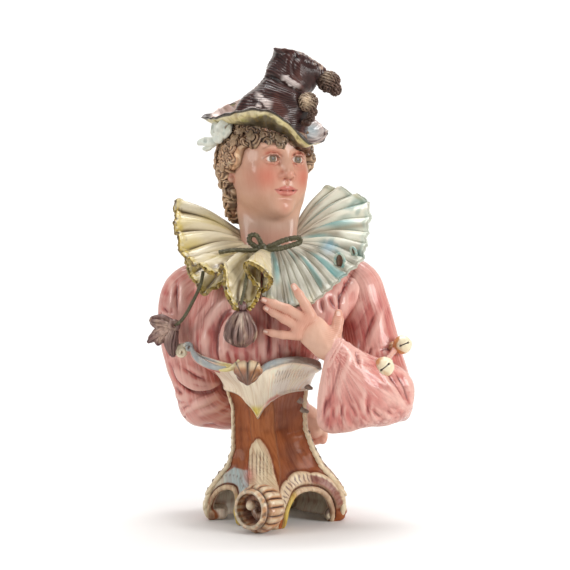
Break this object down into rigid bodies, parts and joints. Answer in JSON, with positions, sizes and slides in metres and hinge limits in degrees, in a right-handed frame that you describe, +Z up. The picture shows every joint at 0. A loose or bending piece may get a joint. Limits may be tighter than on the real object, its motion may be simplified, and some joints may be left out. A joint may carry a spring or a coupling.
{
  "type": "majolica jester bust",
  "caption": "Glazed earthenware half-figure of a jester in a ruff and pointed hat on a scrolled rococo socle, a free-standing ornament.",
  "frame": {"origin": "on the floor, under the middle of the bounding box", "axes": "+Z up along the figure, the bust faces -Y, +X towards the figure's left hand"},
  "size_m": [0.365, 0.2372, 0.6588],
  "materials": {
    "glazed_ceramic": "glossy streaked majolica glazes over fired earthenware: rose smock, cream and brown socle, cream and teal ruff, aubergine hat, flesh bisque tones on face and hands"
  },
  "bodies": {
    "root": {"jester_bust": "glazed_ceramic"}
  },
  "joints": []
}
